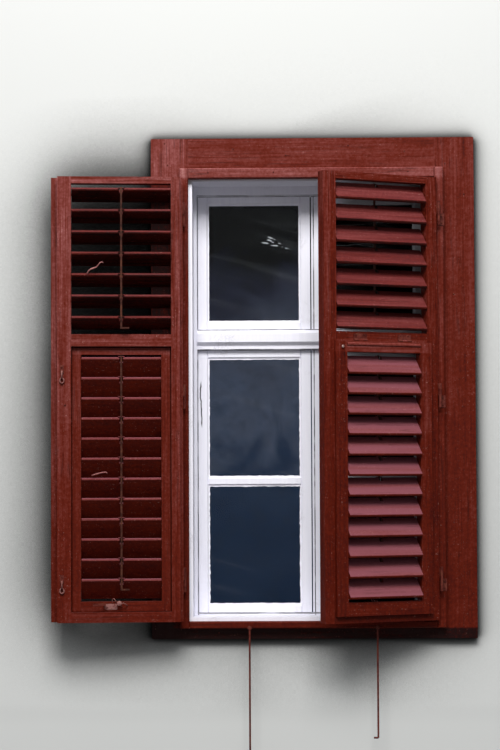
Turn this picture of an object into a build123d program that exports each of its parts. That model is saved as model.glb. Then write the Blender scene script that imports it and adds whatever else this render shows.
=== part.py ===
"""Louvred window shutters: two outward leaves with top-hung flaps, in a timber casing.

Units are millimetres. X runs along the wall to the right, Y into the wall and Z up.
The wall face is Y = 0, and the origin is the middle of the foot board's back.
Each leaf's pieces are drawn in the leaf's own frame: X from the hinge pin towards the
free edge, Y from the pin towards the window, Z as above. They are then hung on the pin.
"""
import os
from math import cos, radians, sin

from build123d import *

os.makedirs("parts", exist_ok=True)

# Casing boards, flat on the wall
opening_width = 788
opening_height = 1414
left_board_width = 120
right_board_width = 128
head_board_height = 132
foot_board_height = 34
board_thickness = 22

# Raised frame, planted on the boards
frame_width = 28
frame_head_height = 33
frame_sill_height = 22
frame_thickness = 26
frame_edge_bevel = 3

# Window behind the shutters
lining_thickness = 12
lining_head_thickness = 6
lining_front = 20
reveal_depth = 100
window_frame_thickness = 46
window_jamb_width = 23
window_head_height = 36
window_sill_height = 16
transom_height = 64
transom_middle = 945
transom_nose = 12
sash_stile = 34
sash_rail = 28
sash_bar = 28
sash_thickness = 30
sash_gap = 0.8
sash_meeting_gap = 4
sash_bevel = 5
glass_thickness = 4
glass_bite = 5
glass_edge_gap = 0.3

# Leaf
leaf_thickness = 36
left_leaf_reach = 402
meeting_gap = 3
leaf_edge_gap = 3
leaf_end_gap = 4
lip_width = 10
lip_thickness = 12.4
lip_seat_gap = 0.6
hinge_stile_width = 28
free_stile_width = 44
top_rail_height = 22
middle_rail_height = 38
bottom_rail_height = 32
upper_light_height = 478
astragal_cover = 20
astragal_width = 30
astragal_thickness = 12
astragal_gap = 0.5

# Flap, hung in the leaf's lower light
flap_gap = 3
flap_top_gap = 4
flap_bottom_gap = 2
flap_thickness = 32
flap_proud = 12
flap_lip_width = 12
flap_lip_gap = 0.5
flap_stile_width = 28
flap_top_rail_height = 22
flap_bottom_rail_height = 30
drip_drop = 16
drip_proud = 4

# Slats and tilt rods
upper_slat_count = 7
flap_slat_count = 12
slat_width = 74
slat_thickness = 11
slat_bevel = 3
slat_side_gap = 1.5
upper_slat_top_margin = 35
upper_slat_bottom_margin = 37
flap_slat_margin = 40
upper_slat_depth = 21
flap_slat_depth = 16
pin_radius = 4
pin_sides = 8
pin_length = 8
pin_clearance = 0.1
rod_reach = 40
rod_width = 6
rod_thickness = 5
rod_eye_radius = 1.5
rod_eye_clearance = 0.1
rod_tail = 38
rod_handle = 22
notch_width = 12
notch_depth = 17
staple_width = 20
staple_leg = 2

# Ironwork
hinge_pin_radius = 2.5
hinge_clearance = 0.05
knuckle_radius = 4.5
knuckle_sides = 16
knuckle_height = 38
knuckle_gap = 0.3
hinge_plate = 2
hinge_flange = 13
pin_stand = 6
pin_inset = 12
hinge_leg_gap = 1
top_hinge_drop = 114
middle_hinge_lift = 8
bottom_hinge_rise = 130
flap_knuckle_radius = 3.5
flap_pin_radius = 2
flap_hinge_length = 46
flap_knuckle_share = 16
flap_hinge_inset = 82
flap_hinge_plate_height = 20
flap_knuckle_gap = 0.1
flap_knuckle_lift = 0.5
flap_knuckle_room = 1
flap_leaf_inset = 1
flap_leaf_thickness = 1.5
sash_knuckle_radius = 5
sash_knuckle_height = 30
sash_hinge_end_distance = 120
latch_post_radius = 3
latch_length = 38
latch_width = 8
latch_plate = 3
latch_bevel = 2
latch_clearance = 0.5
latch_inset = 101
latch_rise = 23
catch_width = 12
catch_height = 26
catch_plate = 2
catch_inset = 15
catch_lug_width = 8
catch_lug_height = 12
catch_lug_reach = 8
upper_catch_rise = 783
lower_catch_rise = 124
stay_radius = 3
rod_sides = 12
left_stay_length = 405
right_stay_length = 345
stay_eye_radius = 6.5
stay_screw_radius = 2.6
stay_clearance = 0.1
stay_head_radius = 5
stay_offset = 207
stay_hook = 14
stay_cant = 10
stay_standoff = 30
stay_drop = 18
stay_head_thickness = 2
stay_slack = 0.3

# How the shutters stand at rest, in degrees
left_leaf_angle = 175
right_leaf_angle = 25
left_upper_tilt = 25
left_flap_tilt = 57
right_upper_tilt = 48
right_flap_tilt = 50
latch_rest_angle = 28

# Heights that several pieces share
sill_bottom = foot_board_height / 2
opening_bottom = sill_bottom + frame_sill_height
opening_top = opening_bottom + opening_height
frame_top = opening_top + frame_head_height
casing_top = opening_top + head_board_height
half_opening = opening_width / 2

# The leaf's levels and the hinge pin's place
frame_face = -(board_thickness + frame_thickness)
lip_back = frame_face - lip_seat_gap
leaf_outer = lip_back - lip_thickness
pin_y = leaf_outer - pin_stand
pin_x = half_opening + pin_inset
leaf_bottom = opening_bottom + leaf_end_gap
leaf_top = opening_top - leaf_end_gap
body_start = pin_inset + leaf_edge_gap
light_start = body_start + hinge_stile_width
upper_light_top = leaf_top - top_rail_height
upper_light_bottom = upper_light_top - upper_light_height
lower_light_top = upper_light_bottom - middle_rail_height
lower_light_bottom = leaf_bottom + bottom_rail_height
right_leaf_reach = 2 * pin_x - meeting_gap - left_leaf_reach
leaf_reach = {"left": left_leaf_reach, "right": right_leaf_reach}
leaf_angle = {"left": left_leaf_angle, "right": right_leaf_angle}
side_sign = {"left": -1, "right": 1}

# The flap's place in the leaf's frame
flap_outer = pin_stand - flap_proud
flap_inner = flap_outer + flap_thickness
flap_bottom = lower_light_bottom + flap_bottom_gap
flap_top = lower_light_top - flap_top_gap
flap_lip_top = flap_top + flap_lip_width
flap_light_bottom = flap_bottom + flap_bottom_rail_height
flap_light_top = flap_top - flap_top_rail_height
flap_pin_y = pin_stand - flap_knuckle_radius - flap_knuckle_gap
flap_pin_z = flap_lip_top + flap_knuckle_radius + flap_knuckle_lift


def bar(x, y, z, mode=Mode.ADD):
    """Adds a square-cut bar that fills three ranges to the open part."""
    with BuildSketch(Plane.XY.offset(z[0])) as outline:
        with Locations(((x[0] + x[1]) / 2, (y[0] + y[1]) / 2)):
            Rectangle(x[1] - x[0], y[1] - y[0])
    extrude(outline.sketch, amount=z[1] - z[0], mode=mode)


def flatted_bar(plane, radius, length, sides):
    """Adds a small bar of many flats, whose corners lie on the radius."""
    with BuildSketch(plane) as outline:
        RegularPolygon(radius, sides, major_radius=True)
    extrude(outline.sketch, amount=length)


def flatted_hole(plane, radius, length, sides):
    """Cuts a hole of many flats, whose flats lie on the radius."""
    with BuildSketch(plane) as outline:
        RegularPolygon(radius, sides, major_radius=False)
    extrude(outline.sketch, amount=length, mode=Mode.SUBTRACT)


def square_piece(x, y, z):
    """One plain timber that fills three ranges."""
    with BuildPart() as timber:
        bar(x, y, z)
    return timber.part


def save(name, pieces):
    """Writes a node: one piece, or the separate pieces that share it."""
    node = pieces[0] if len(pieces) == 1 else Compound(children=list(pieces))
    node.label = name
    export_step(node, f"parts/{name}.step")


def hang(piece, side, angle=None):
    """Moves a piece from the leaf's own frame to its pin, opened by the rest angle."""
    turned = leaf_angle[side] if angle is None else angle
    sign = side_sign[side]
    sided = piece.mirror(Plane.YZ) if side == "right" else piece
    return Pos(sign * pin_x, pin_y, 0) * Rot(0, 0, sign * turned) * sided


# Casing: two long jamb boards with the head and foot boards butted between them, and
# the raised frame planted over their inner edges.
def casing_boards():
    board_depth = (-board_thickness, 0)
    full_height = (-foot_board_height / 2, casing_top)
    return [
        square_piece((-half_opening - left_board_width, -half_opening), board_depth, full_height),
        square_piece((half_opening, half_opening + right_board_width), board_depth, full_height),
        square_piece((-half_opening, half_opening), board_depth, (opening_top, casing_top)),
        square_piece(
            (-half_opening, half_opening), board_depth, (-foot_board_height / 2, opening_bottom)
        ),
    ]


def raised_member(x, z):
    """A member of the raised frame, with its outer front edges eased."""
    with BuildPart() as member:
        bar(x, (frame_face, -board_thickness), z)
        front = member.faces().sort_by(Axis.Y)[0]
        chamfer(front.edges(), frame_edge_bevel)
    return member.part


def raised_frame():
    outer = half_opening + frame_width
    return [
        raised_member((-outer, -half_opening), (sill_bottom, frame_top)),
        raised_member((half_opening, outer), (sill_bottom, frame_top)),
        raised_member((-half_opening, half_opening), (opening_top, frame_top)),
        raised_member((-half_opening, half_opening), (sill_bottom, opening_bottom)),
    ]


save("casing", casing_boards() + raised_frame())

# Window: a lining round the opening, a fixed frame behind it with a moulded transom,
# two fixed upper lights and two lower sashes that swing into the room.
lining_side = half_opening - lining_thickness
lining_top = opening_top - lining_head_thickness
window_face = reveal_depth
window_back = window_face + window_frame_thickness
sash_side = half_opening - window_jamb_width
upper_sash_top = opening_top - window_head_height
lower_sash_bottom = opening_bottom + window_sill_height
transom_bottom = transom_middle - transom_height / 2
transom_top = transom_middle + transom_height / 2
sash_front = window_back - sash_thickness - sash_gap
sash_back = sash_front + sash_thickness
sash_pin_y = window_back + sash_knuckle_radius + knuckle_gap


def sash_member(x, z, light_sides):
    """A member of a glazed frame, bevelled in front along its edges to the glass."""
    with BuildPart() as member:
        bar(x, (sash_front, sash_back), z)
        front = member.faces().sort_by(Axis.Y)[0]
        for axis, end in light_sides:
            chamfer(front.edges().sort_by(axis)[end], sash_bevel)
        glass_groove(x, z, light_sides)
    return member.part


def glass_groove(x, z, light_sides):
    """Cuts the groove that holds the edge of the glass."""
    middle = (sash_front + sash_back) / 2
    groove_y = (middle - glass_thickness / 2, middle + glass_thickness / 2)
    for axis, end in light_sides:
        low, high = x if axis == Axis.X else z
        span = (high - glass_bite, high) if end else (low, low + glass_bite)
        if axis == Axis.X:
            bar(span, groove_y, z, mode=Mode.SUBTRACT)
        else:
            bar(x, groove_y, span, mode=Mode.SUBTRACT)


def sash_members(x, z, bar_height=None):
    """The stiles, rails and glazing bar of one sash in the given ranges."""
    inner_x = (x[0] + sash_stile, x[1] - sash_stile)
    members = [
        sash_member((x[0], inner_x[0]), z, [(Axis.X, -1)]),
        sash_member((inner_x[1], x[1]), z, [(Axis.X, 0)]),
        sash_member(inner_x, (z[0], z[0] + sash_rail), [(Axis.Z, -1)]),
        sash_member(inner_x, (z[1] - sash_rail, z[1]), [(Axis.Z, 0)]),
    ]
    if bar_height is not None:
        bar_z = (bar_height - sash_bar / 2, bar_height + sash_bar / 2)
        members.append(sash_member(inner_x, bar_z, [(Axis.Z, 0), (Axis.Z, -1)]))
    return members


def pane(x, z):
    """A sheet of glass that reaches into its grooves on all four sides."""
    middle = (sash_front + sash_back) / 2
    bite = glass_bite - glass_edge_gap
    return square_piece(
        (x[0] - bite, x[1] + bite),
        (middle - glass_thickness / 2, middle + glass_thickness / 2),
        (z[0] - bite, z[1] + bite),
    )


def transom_rail():
    """The transom between the lights, with a moulded nose in front."""
    with BuildPart() as rail:
        with BuildSketch(Plane.YZ.offset(-sash_side)):
            with BuildLine():
                Polyline(
                    (window_back, transom_bottom),
                    (window_face, transom_bottom),
                    (window_face, transom_bottom + transom_nose),
                    (window_face - transom_nose, transom_bottom + 2 * transom_nose),
                    (window_face - transom_nose, transom_top - transom_nose),
                    (window_face, transom_top),
                    (window_back, transom_top),
                    close=True,
                )
            make_face()
        extrude(amount=2 * sash_side)
    return rail.part


def lining_boards():
    depth = (-lining_front, reveal_depth)
    lining_foot = opening_bottom + lining_thickness
    return [
        square_piece((-half_opening, -lining_side), depth, (opening_bottom, opening_top)),
        square_piece((lining_side, half_opening), depth, (opening_bottom, opening_top)),
        square_piece((-lining_side, lining_side), depth, (lining_top, opening_top)),
        square_piece((-lining_side, lining_side), depth, (opening_bottom, lining_foot)),
    ]


def fixed_frame():
    depth = (window_face, window_back)
    full_height = (opening_bottom, opening_top)
    return [
        square_piece((-half_opening, -sash_side), depth, full_height),
        square_piece((sash_side, half_opening), depth, full_height),
        square_piece((-sash_side, sash_side), depth, (upper_sash_top, opening_top)),
        square_piece((-sash_side, sash_side), depth, (opening_bottom, lower_sash_bottom)),
        transom_rail(),
    ]


def sash_ranges(side):
    """The width that a sash fills on one side of the window."""
    inner = sash_meeting_gap / 2
    if side == "left":
        return (-sash_side + sash_gap, -inner)
    return (inner, sash_side - sash_gap)


upper_sash_z = (transom_top, upper_sash_top)
lower_sash_z = (lower_sash_bottom + sash_gap, transom_bottom - sash_gap)
lower_bar_z = (lower_sash_z[0] + lower_sash_z[1]) / 2
sash_pin_heights = [
    lower_sash_z[0] + sash_hinge_end_distance,
    lower_sash_z[1] - sash_hinge_end_distance,
]


def sash_pin_x(side):
    """The sash's pin stands in line with its hinge-side edge."""
    return side_sign[side] * (sash_side - sash_gap)


def sash_pin(side, height):
    """The fixed half of a sash hinge: a flange on the frame's back, knuckle and pin."""
    x = sash_pin_x(side)
    sign = side_sign[side]
    knuckle_top = height - knuckle_gap / 2
    knuckle_bottom = knuckle_top - sash_knuckle_height
    foot = Plane(origin=(x, sash_pin_y, knuckle_bottom))
    with BuildPart() as half:
        flatted_bar(foot, sash_knuckle_radius, sash_knuckle_height, knuckle_sides)
        pin_span = 2 * sash_knuckle_height + knuckle_gap
        flatted_bar(foot, hinge_pin_radius, pin_span, knuckle_sides)
        flange_x = sorted((x, x + sign * (hinge_flange + sash_knuckle_radius)))
        bar(flange_x, (window_back, window_back + hinge_plate), (knuckle_bottom, knuckle_top))
    return half.part


def sash_knuckle(side, height):
    """The moving half of a sash hinge: a bored knuckle and its flange on the stile."""
    x = sash_pin_x(side)
    sign = side_sign[side]
    knuckle_bottom = height + knuckle_gap / 2
    foot = Plane(origin=(x, sash_pin_y, knuckle_bottom))
    with BuildPart() as half:
        flatted_bar(foot, sash_knuckle_radius, sash_knuckle_height, knuckle_sides)
        flange_x = sorted((x, x - sign * (hinge_flange + sash_knuckle_radius)))
        bar(
            flange_x,
            (sash_back, sash_back + hinge_plate),
            (knuckle_bottom, knuckle_bottom + sash_knuckle_height),
        )
        hole_radius = hinge_pin_radius + hinge_clearance
        flatted_hole(foot, hole_radius, sash_knuckle_height, knuckle_sides)
    return half.part


window_pieces = lining_boards() + fixed_frame()
upper_panes = []
for window_side in ("left", "right"):
    sash_x = sash_ranges(window_side)
    window_pieces += sash_members(sash_x, upper_sash_z)
    light_x = (sash_x[0] + sash_stile, sash_x[1] - sash_stile)
    light_z = (upper_sash_z[0] + sash_rail, upper_sash_z[1] - sash_rail)
    upper_panes.append(pane(light_x, light_z))
    for pin_height in sash_pin_heights:
        window_pieces.append(sash_pin(window_side, pin_height))
save("window_frame", window_pieces)
save("upper_panes", upper_panes)

for window_side in ("left", "right"):
    sash_x = sash_ranges(window_side)
    light_x = (sash_x[0] + sash_stile, sash_x[1] - sash_stile)
    knuckles = [sash_knuckle(window_side, pin_height) for pin_height in sash_pin_heights]
    save(f"{window_side}_sash", sash_members(sash_x, lower_sash_z, lower_bar_z) + knuckles)
    lower_light = (lower_sash_z[0] + sash_rail, lower_bar_z - sash_bar / 2)
    upper_light = (lower_bar_z + sash_bar / 2, lower_sash_z[1] - sash_rail)
    save(f"{window_side}_panes", [pane(light_x, lower_light), pane(light_x, upper_light)])


# Leaf frame: stiles that run full height with three rails between them. A lip along
# the hinge stile closes on the raised frame.
def slat_heights(lowest, highest, count):
    """Pivot heights of the slats in a light, evenly spaced."""
    pitch = (highest - lowest) / (count - 1)
    return [lowest + n * pitch for n in range(count)]


upper_slat_heights = slat_heights(
    upper_light_bottom + upper_slat_bottom_margin,
    upper_light_top - upper_slat_top_margin,
    upper_slat_count,
)
flap_slat_heights = slat_heights(
    flap_light_bottom + flap_slat_margin, flap_light_top - flap_slat_margin, flap_slat_count
)
upper_slat_y = pin_stand + upper_slat_depth
flap_slat_y = flap_outer + flap_slat_depth
leaf_y = (pin_stand, pin_stand + leaf_thickness)
lip_y = (pin_stand, pin_stand + lip_thickness)
leaf_z = (leaf_bottom, leaf_top)
pin_hole_depth = pin_length + slat_side_gap


def pin_holes(edge_x, direction, y, heights):
    """Bores the slat pins' holes into a stile's edge at edge_x."""
    for height in heights:
        face = Plane(origin=(edge_x, y, height), x_dir=(0, 1, 0), z_dir=(direction, 0, 0))
        flatted_hole(face, pin_radius + pin_clearance, pin_hole_depth, pin_sides)


def light_end(side):
    """The edge of the free stile towards the louvres."""
    return leaf_reach[side] - free_stile_width


def leaf_frame(side):
    reach = leaf_reach[side]
    lights = (light_start, light_end(side))
    with BuildPart() as hinge_stile:
        bar((body_start, light_start), leaf_y, leaf_z)
        bar((body_start - lip_width, light_start), lip_y, leaf_z)
        pin_holes(lights[0], -1, upper_slat_y, upper_slat_heights)
    with BuildPart() as free_stile:
        bar((lights[1], reach), leaf_y, leaf_z)
        pin_holes(lights[1], 1, upper_slat_y, upper_slat_heights)
    with BuildPart() as top_rail:
        bar(lights, leaf_y, (upper_light_top, leaf_top))
    with BuildPart() as middle_rail:
        bar(lights, leaf_y, (lower_light_top, upper_light_bottom))
    with BuildPart() as bottom_rail:
        bar(lights, leaf_y, (leaf_bottom, lower_light_bottom))
    members = [hinge_stile, free_stile, top_rail, middle_rail, bottom_rail]
    pieces = [member.part for member in members]
    if side == "left":
        pieces.append(astragal(reach))
    return pieces


def astragal(reach):
    """The strip on the left leaf's free edge that covers the meeting of the leaves."""
    outer = pin_stand - astragal_thickness
    with BuildPart() as strip:
        with BuildSketch(Plane.XY.offset(leaf_z[0])):
            with BuildLine():
                Polyline(
                    (reach + astragal_cover - astragal_width, pin_stand),
                    (reach, pin_stand),
                    (reach, pin_stand - astragal_gap),
                    (reach + astragal_cover, pin_stand - astragal_gap),
                    (reach + astragal_cover, outer + frame_edge_bevel),
                    (reach + astragal_cover - frame_edge_bevel, outer),
                    (reach + astragal_cover - astragal_width + frame_edge_bevel, outer),
                    (reach + astragal_cover - astragal_width, outer + frame_edge_bevel),
                    close=True,
                )
            make_face()
        extrude(amount=leaf_z[1] - leaf_z[0])
    return strip.part


for side in ("left", "right"):
    save(f"{side}_leaf_frame", [hang(piece, side) for piece in leaf_frame(side)])


# Flap frame: stiles and rails like the leaf's, with a lip that laps over the leaf's
# outer face and a drip mould along the top rail. Its hinge halves are screwed on.
def flap_range(side):
    return (light_start + flap_gap, light_end(side) - flap_gap)


def flap_hinge_places(side):
    return (light_start + flap_hinge_inset, light_end(side) - flap_hinge_inset)


def flap_frame(side):
    x = flap_range(side)
    body_y = (flap_outer, flap_inner)
    lap_y = (flap_outer, pin_stand - flap_lip_gap)
    lap_z = (flap_bottom - flap_lip_width, flap_lip_top)
    light_x = (x[0] + flap_stile_width, x[1] - flap_stile_width)
    with BuildPart() as hinge_side:
        bar((x[0], light_x[0]), body_y, (flap_bottom, flap_top))
        bar((x[0] - flap_lip_width, light_x[0]), lap_y, lap_z)
        pin_holes(light_x[0], -1, flap_slat_y, flap_slat_heights)
    with BuildPart() as free_side:
        bar((light_x[1], x[1]), body_y, (flap_bottom, flap_top))
        bar((light_x[1], x[1] + flap_lip_width), lap_y, lap_z)
        pin_holes(light_x[1], 1, flap_slat_y, flap_slat_heights)
    with BuildPart() as top_rail:
        bar(light_x, body_y, (flap_light_top, flap_top))
        bar(light_x, lap_y, (flap_light_top, flap_lip_top))
        drip_mould(light_x)
    with BuildPart() as bottom_rail:
        bar(light_x, body_y, (flap_bottom, flap_light_bottom))
        bar(light_x, lap_y, (lap_z[0], flap_light_bottom))
    members = [hinge_side, free_side, top_rail, bottom_rail]
    return [member.part for member in members]


def drip_mould(light_x):
    """The sloped weather moulding along the flap's top rail."""
    with BuildSketch(Plane.YZ.offset(light_x[0])) as profile:
        with BuildLine():
            Polyline(
                (flap_outer, flap_lip_top - drip_proud),
                (flap_outer - drip_proud, flap_lip_top - 2 * drip_proud),
                (flap_outer - drip_proud, flap_lip_top - drip_drop + drip_proud),
                (flap_outer, flap_lip_top - drip_drop),
                close=True,
            )
        make_face()
    extrude(profile.sketch, amount=light_x[1] - light_x[0])


def flap_hinge_fixed(x):
    """A flap hinge's fixed half: plate on the middle rail, two knuckles and the pin."""
    outer_share = (flap_hinge_length - flap_knuckle_share) / 2 - knuckle_gap
    starts = (x - flap_hinge_length / 2, x + flap_knuckle_share / 2 + knuckle_gap)
    with BuildPart() as half:
        for start in starts:
            along = Plane(origin=(start, flap_pin_y, flap_pin_z), z_dir=(1, 0, 0))
            flatted_bar(along, flap_knuckle_radius, outer_share, knuckle_sides)
            bar(
                (start, start + outer_share),
                (pin_stand - hinge_plate, pin_stand),
                (flap_pin_z, flap_pin_z + flap_hinge_plate_height),
            )
        pin_plane = Plane(origin=(starts[0], flap_pin_y, flap_pin_z), z_dir=(1, 0, 0))
        flatted_bar(pin_plane, flap_pin_radius, flap_hinge_length, knuckle_sides)
        bar(
            (starts[0], starts[0] + flap_hinge_length),
            (pin_stand - hinge_plate, pin_stand),
            (flap_pin_z + flap_knuckle_radius + flap_knuckle_room, flap_pin_z + flap_hinge_plate_height),
        )
    return half.part


def flap_hinge_moving(x):
    """A flap hinge's moving half: one bored knuckle on a plate along the flap's top."""
    start = x - flap_knuckle_share / 2
    along = Plane(origin=(start, flap_pin_y, flap_pin_z), z_dir=(1, 0, 0))
    plate_y = (flap_outer + flap_leaf_inset, pin_stand - flap_lip_gap)
    plate_z = (flap_lip_top, flap_lip_top + flap_leaf_thickness)
    with BuildPart() as half:
        flatted_bar(along, flap_knuckle_radius, flap_knuckle_share, knuckle_sides)
        bar((start, start + flap_knuckle_share), plate_y, plate_z)
        hole_radius = flap_pin_radius + hinge_clearance
        flatted_hole(along, hole_radius, flap_knuckle_share, knuckle_sides)
    return half.part


for side in ("left", "right"):
    flap_pieces = flap_frame(side)
    flap_pieces += [flap_hinge_moving(x) for x in flap_hinge_places(side)]
    save(f"{side}_flap_frame", [hang(piece, side) for piece in flap_pieces])


# Slats: bevelled boards on a pin at each end. The inner edge is notched for the tilt
# rod, and a wire staple bridges the notch.
def slat(length):
    half_width = slat_width / 2
    middle = length / 2
    body = (slat_side_gap, length - slat_side_gap)
    with BuildPart() as board:
        with BuildSketch(Plane.YZ.offset(body[0])):
            Rectangle(slat_width, slat_thickness)
            chamfer(vertices(), slat_bevel)
        extrude(amount=body[1] - body[0])
        bar(
            (middle - notch_width / 2, middle + notch_width / 2),
            (half_width - notch_depth, half_width),
            (-slat_thickness / 2, slat_thickness / 2),
            mode=Mode.SUBTRACT,
        )
        flatted_bar(Plane.YZ.offset(body[0] - pin_length), pin_radius, pin_length, pin_sides)
        flatted_bar(Plane.YZ.offset(body[1]), pin_radius, pin_length, pin_sides)
        staple_ends = (middle - staple_width / 2, middle + staple_width / 2)
        crossbar = Plane(origin=(staple_ends[0], rod_reach, 0), z_dir=(1, 0, 0))
        flatted_bar(crossbar, rod_eye_radius, staple_width, pin_sides)
        for leg_x in (staple_ends[0], staple_ends[1] - staple_leg):
            bar(
                (leg_x, leg_x + staple_leg),
                (half_width - slat_bevel, rod_reach),
                (-rod_eye_radius, rod_eye_radius),
            )
    return board.part


def tilted(piece, tilt, start_x, y, height):
    """Places a slat on its pivot, its inner edge raised by the tilt."""
    return Pos(start_x, y, height) * Rot(tilt, 0, 0) * piece


# Tilt rod: a flat iron bar bored for each slat's staple, cranked into a handle below.
def tilt_rod(heights, x, y, tilt):
    rod_y = y + rod_reach * cos(radians(tilt))
    rise = rod_reach * sin(radians(tilt))
    crossings = [height + rise for height in heights]
    half_thickness = rod_thickness / 2
    top = crossings[-1] + rod_width / 2
    bottom = crossings[0] - rod_tail
    rod_x = (x - rod_width / 2, x + rod_width / 2)
    rod_depth = (rod_y - half_thickness, rod_y + half_thickness)
    with BuildPart() as rod:
        bar(rod_x, rod_depth, (bottom, top))
        bar((rod_x[0] - rod_handle, rod_x[1]), rod_depth, (bottom, bottom + rod_thickness))
        for crossing in crossings:
            eye = Plane(origin=(rod_x[0], rod_y, crossing), z_dir=(1, 0, 0))
            flatted_hole(eye, rod_eye_radius + rod_eye_clearance, rod_width, pin_sides)
    return rod.part


upper_tilt = {"left": left_upper_tilt, "right": right_upper_tilt}
flap_tilt = {"left": left_flap_tilt, "right": right_flap_tilt}
for side in ("left", "right"):
    upper_x = (light_start, light_end(side))
    flap_x = (
        flap_range(side)[0] + flap_stile_width,
        flap_range(side)[1] - flap_stile_width,
    )
    rows = [
        ("upper", upper_x, upper_slat_y, upper_slat_heights, upper_tilt[side]),
        ("flap", flap_x, flap_slat_y, flap_slat_heights, flap_tilt[side]),
    ]
    for row, row_x, row_y, heights, tilt in rows:
        row_slat = slat(row_x[1] - row_x[0])
        for number, height in enumerate(reversed(heights), start=1):
            placed = tilted(row_slat, tilt, row_x[0], row_y, height)
            save(f"{side}_{row}_slat_{number:02d}", [hang(placed, side)])
        rod = tilt_rod(heights, (row_x[0] + row_x[1]) / 2, row_y, tilt)
        save(f"{side}_{row}_tilt_rod", [hang(rod, side)])


# Leaf hinges: three lift-off hinges a side. The lower knuckle with the pin is fixed to
# the raised frame, and the upper, bored one to the edge of the leaf's lip.
hinge_heights = [
    leaf_bottom + bottom_hinge_rise,
    (leaf_bottom + leaf_top) / 2 + middle_hinge_lift,
    leaf_top - top_hinge_drop,
]
frame_face_y = frame_face - pin_y


def hinge_fixed(height):
    bottom = height - knuckle_gap / 2 - knuckle_height
    foot = Plane.XY.offset(bottom)
    top = bottom + knuckle_height
    with BuildPart() as half:
        flatted_bar(foot, knuckle_radius, knuckle_height, knuckle_sides)
        flatted_bar(foot, hinge_pin_radius, 2 * knuckle_height + knuckle_gap, knuckle_sides)
        bar((-knuckle_radius, -knuckle_radius + hinge_plate), (0, frame_face_y), (bottom, top))
        bar(
            (-knuckle_radius - hinge_flange, -knuckle_radius + hinge_plate),
            (frame_face_y - hinge_plate, frame_face_y),
            (bottom, top),
        )
    return half.part


def hinge_moving(height):
    bottom = height + knuckle_gap / 2
    foot = Plane.XY.offset(bottom)
    lip_edge = body_start - lip_width
    with BuildPart() as half:
        flatted_bar(foot, knuckle_radius, knuckle_height, knuckle_sides)
        bar((0, lip_edge), (pin_stand - hinge_plate, pin_stand), (bottom, bottom + knuckle_height))
        bar(
            (lip_edge - hinge_plate, lip_edge),
            (pin_stand - hinge_plate, pin_stand + lip_thickness - hinge_leg_gap),
            (bottom, bottom + knuckle_height),
        )
        bar((0, hinge_plate), (0, pin_stand), (bottom, bottom + knuckle_height))
        flatted_hole(foot, hinge_pin_radius + hinge_clearance, knuckle_height, knuckle_sides)
    return half.part


# Catches: plates with a lug at the foot, on the free stile's inner face.
def stile_catch(side, bottom):
    middle = leaf_reach[side] - catch_inset
    inner = pin_stand + leaf_thickness
    plate_x = (middle - catch_width / 2, middle + catch_width / 2)
    lug_x = (middle - catch_lug_width / 2, middle + catch_lug_width / 2)
    with BuildPart() as catch:
        bar(plate_x, (inner, inner + catch_plate), (bottom, bottom + catch_height))
        bar(lug_x, (inner, inner + catch_lug_reach), (bottom, bottom + catch_lug_height))
    return catch.part


catch_bottoms = (leaf_bottom + upper_catch_rise, leaf_bottom + lower_catch_rise)
for side in ("left", "right"):
    iron = [hinge_moving(height) for height in hinge_heights]
    iron += [flap_hinge_fixed(x) for x in flap_hinge_places(side)]
    iron += [stile_catch(side, bottom) for bottom in catch_bottoms]
    save(f"{side}_leaf_ironwork", [hang(piece, side) for piece in iron])


# Flap latch: a turn button on a post. Turned down, it stands behind the leaf's bottom
# rail. At rest it points at the free edge, a little down, and clears the rail.
latch_y = pin_stand + leaf_thickness + latch_clearance
latch_z = flap_bottom + latch_rise


def flap_latch(side):
    x = flap_range(side)[1] - latch_inset
    plane = Plane(origin=(x, flap_inner, latch_z), x_dir=(1, 0, 0), z_dir=(0, 1, 0))
    with BuildPart() as button:
        post_length = latch_y + latch_plate - flap_inner
        flatted_bar(plane, latch_post_radius, post_length, pin_sides)
        with BuildSketch(plane.offset(latch_y - flap_inner).rotated((0, 0, latch_rest_angle))):
            with Locations((latch_length / 2, 0)):
                Rectangle(latch_length + latch_width, latch_width)
            chamfer(vertices(), latch_bevel)
        extrude(amount=latch_plate)
    return button.part


for side in ("left", "right"):
    save(f"{side}_flap_latch", [hang(flap_latch(side), side)])


# Stays: round iron rods that hang on a screw in the raised sill, cranked at the free
# end. The screw is canted, so that a stay swings up clear of the open leaf's face.
stay_z = opening_bottom - stay_drop
stay_lengths = {"left": left_stay_length, "right": right_stay_length}


def stay_axis(side):
    cant = radians(stay_cant)
    return Vector(side_sign[side] * sin(cant), cos(cant), 0)


def stay_seat(side):
    return Vector(side_sign[side] * stay_offset, frame_face, stay_z)


def stay_screw(side):
    """The screw that a stay turns on, with its head in front of the stay's eye."""
    axis = stay_axis(side)
    seat = stay_seat(side)
    reach = stay_standoff + stay_radius + stay_slack + stay_head_thickness
    tip = Plane(origin=seat - axis * reach, z_dir=axis)
    with BuildPart() as screw:
        flatted_bar(tip, stay_screw_radius, reach + stay_screw_radius, rod_sides)
        flatted_bar(tip, stay_head_radius, stay_head_thickness, knuckle_sides)
        split(bisect_by=Plane(origin=seat, z_dir=(0, -1, 0)))
    return screw.part


def stay(side):
    """A stay in its hanging position."""
    axis = stay_axis(side)
    middle = stay_seat(side) - axis * stay_standoff
    eye = Plane(origin=middle - axis * stay_radius, z_dir=axis)
    length = stay_lengths[side]
    foot = middle - Vector(0, 0, length)
    with BuildPart() as rod:
        flatted_bar(eye, stay_eye_radius, 2 * stay_radius, knuckle_sides)
        flatted_bar(Plane(origin=middle, z_dir=(0, 0, -1)), stay_radius, length, rod_sides)
        flatted_bar(Plane(origin=foot, z_dir=(-1, 0, 0)), stay_radius, stay_hook, rod_sides)
        flatted_hole(eye, stay_screw_radius + stay_clearance, 2 * stay_radius, rod_sides)
    return rod.part


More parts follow.
